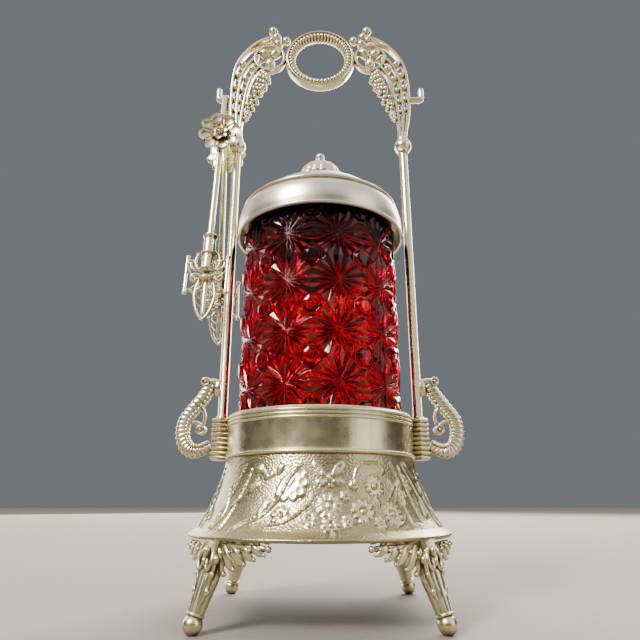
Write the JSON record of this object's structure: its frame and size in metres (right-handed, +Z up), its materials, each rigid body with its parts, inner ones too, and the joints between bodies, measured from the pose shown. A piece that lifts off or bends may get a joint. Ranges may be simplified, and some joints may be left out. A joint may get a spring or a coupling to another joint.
{
  "type": "pickle castor",
  "caption": "Footed silver-plated table castor: pressed-glass jar with domed lid in a banded stand, fixed bail handle with ring, and sprung tongs on a side hook.",
  "frame": {"origin": "on the table, under the jar's axis: centre of the footprint", "axes": "+Z up; the bail handle stands in the XZ plane; -Y is the front; the tongs hang at -X"},
  "size_m": [0.1312, 0.1104, 0.3056],
  "materials": {
    "embossed_silver": "die-stamped silver plate, satin, tarnish in the recesses",
    "brushed_silver": "silver plate brushed round the band",
    "spun_silver": "spun silver plate, softly polished",
    "cast_silver": "cast silver plate, dark in the recesses",
    "wire_silver": "drawn silver-plated wire and strip",
    "fastener_brass": "worn brass",
    "ruby_glass": "pressed ruby glass, fire polished"
  },
  "bodies": {
    "frame": {"bail_crest_left": "cast_silver", "bail_crest_right": "cast_silver", "bail_rod_left": "wire_silver", "bail_rod_right": "wire_silver", "base_skirt": "embossed_silver", "collar_ball_left": "cast_silver", "collar_ball_right": "cast_silver", "foot_back_left": "cast_silver", "foot_back_right": "cast_silver", "foot_front_left": "cast_silver", "foot_front_right": "cast_silver", "handle_ring": "cast_silver", "holder_band": "brushed_silver", "rod_nut_left": "fastener_brass", "rod_nut_right": "fastener_brass", "rod_socket_left": "cast_silver", "rod_socket_right": "cast_silver", "seat_plate": "brushed_silver", "side_scroll_left": "cast_silver", "side_scroll_right": "cast_silver", "tongs_hook_left": "cast_silver", "tongs_hook_right": "cast_silver"},
    "lid": {"finial_cap": "spun_silver", "finial_knob": "spun_silver", "finial_nut": "fastener_brass", "lid_collar": "spun_silver", "lid_dome": "spun_silver"},
    "jar": {"glass_jar": "ruby_glass"},
    "arm_back": {"tongs_arm_back": "wire_silver", "tongs_bowl_back": "cast_silver", "tongs_claw_back": "cast_silver", "tongs_ferrule_back": "cast_silver", "tongs_flower_back": "cast_silver", "tongs_rivet_back": "fastener_brass"},
    "arm_front": {"tongs_arm_front": "wire_silver", "tongs_bowl_front": "cast_silver", "tongs_claw_front": "cast_silver", "tongs_ferrule_front": "cast_silver", "tongs_flower_front": "cast_silver", "tongs_rivet_front": "fastener_brass"},
    "tongs_bow": {"tongs_bow": "wire_silver"}
  },
  "joints": [
    {"name": "jar_lift", "type": "slide", "parent": "frame", "child": "jar", "axis": [0, 0, 1], "range_m": [0, 0.02]},
    {"name": "lid_lift", "type": "slide", "parent": "jar", "child": "lid", "axis": [0, 0, 1], "range_m": [0, 0.016]},
    {"name": "tongs_lift", "type": "slide", "parent": "frame", "child": "tongs_bow", "axis": [0, 0, 1], "range_m": [0, 0.012]},
    {"name": "squeeze_front", "type": "hinge", "parent": "tongs_bow", "child": "arm_front", "pos_m": [-0.0524, 0, 0.2539], "axis": [1, 0, 0], "range_deg": [0, 6.5], "stiffness_Nm_per_rad": 0.3, "springref_deg": -2.86},
    {"name": "squeeze_back", "type": "hinge", "parent": "tongs_bow", "child": "arm_back", "pos_m": [-0.0524, 0, 0.2539], "axis": [-1, 0, 0], "range_deg": [0, 6.5], "stiffness_Nm_per_rad": 0.3, "springref_deg": -2.86}
  ],
  "couplings": [
    {"joint": "squeeze_back", "follows": "squeeze_front", "ratio": 1}
  ]
}
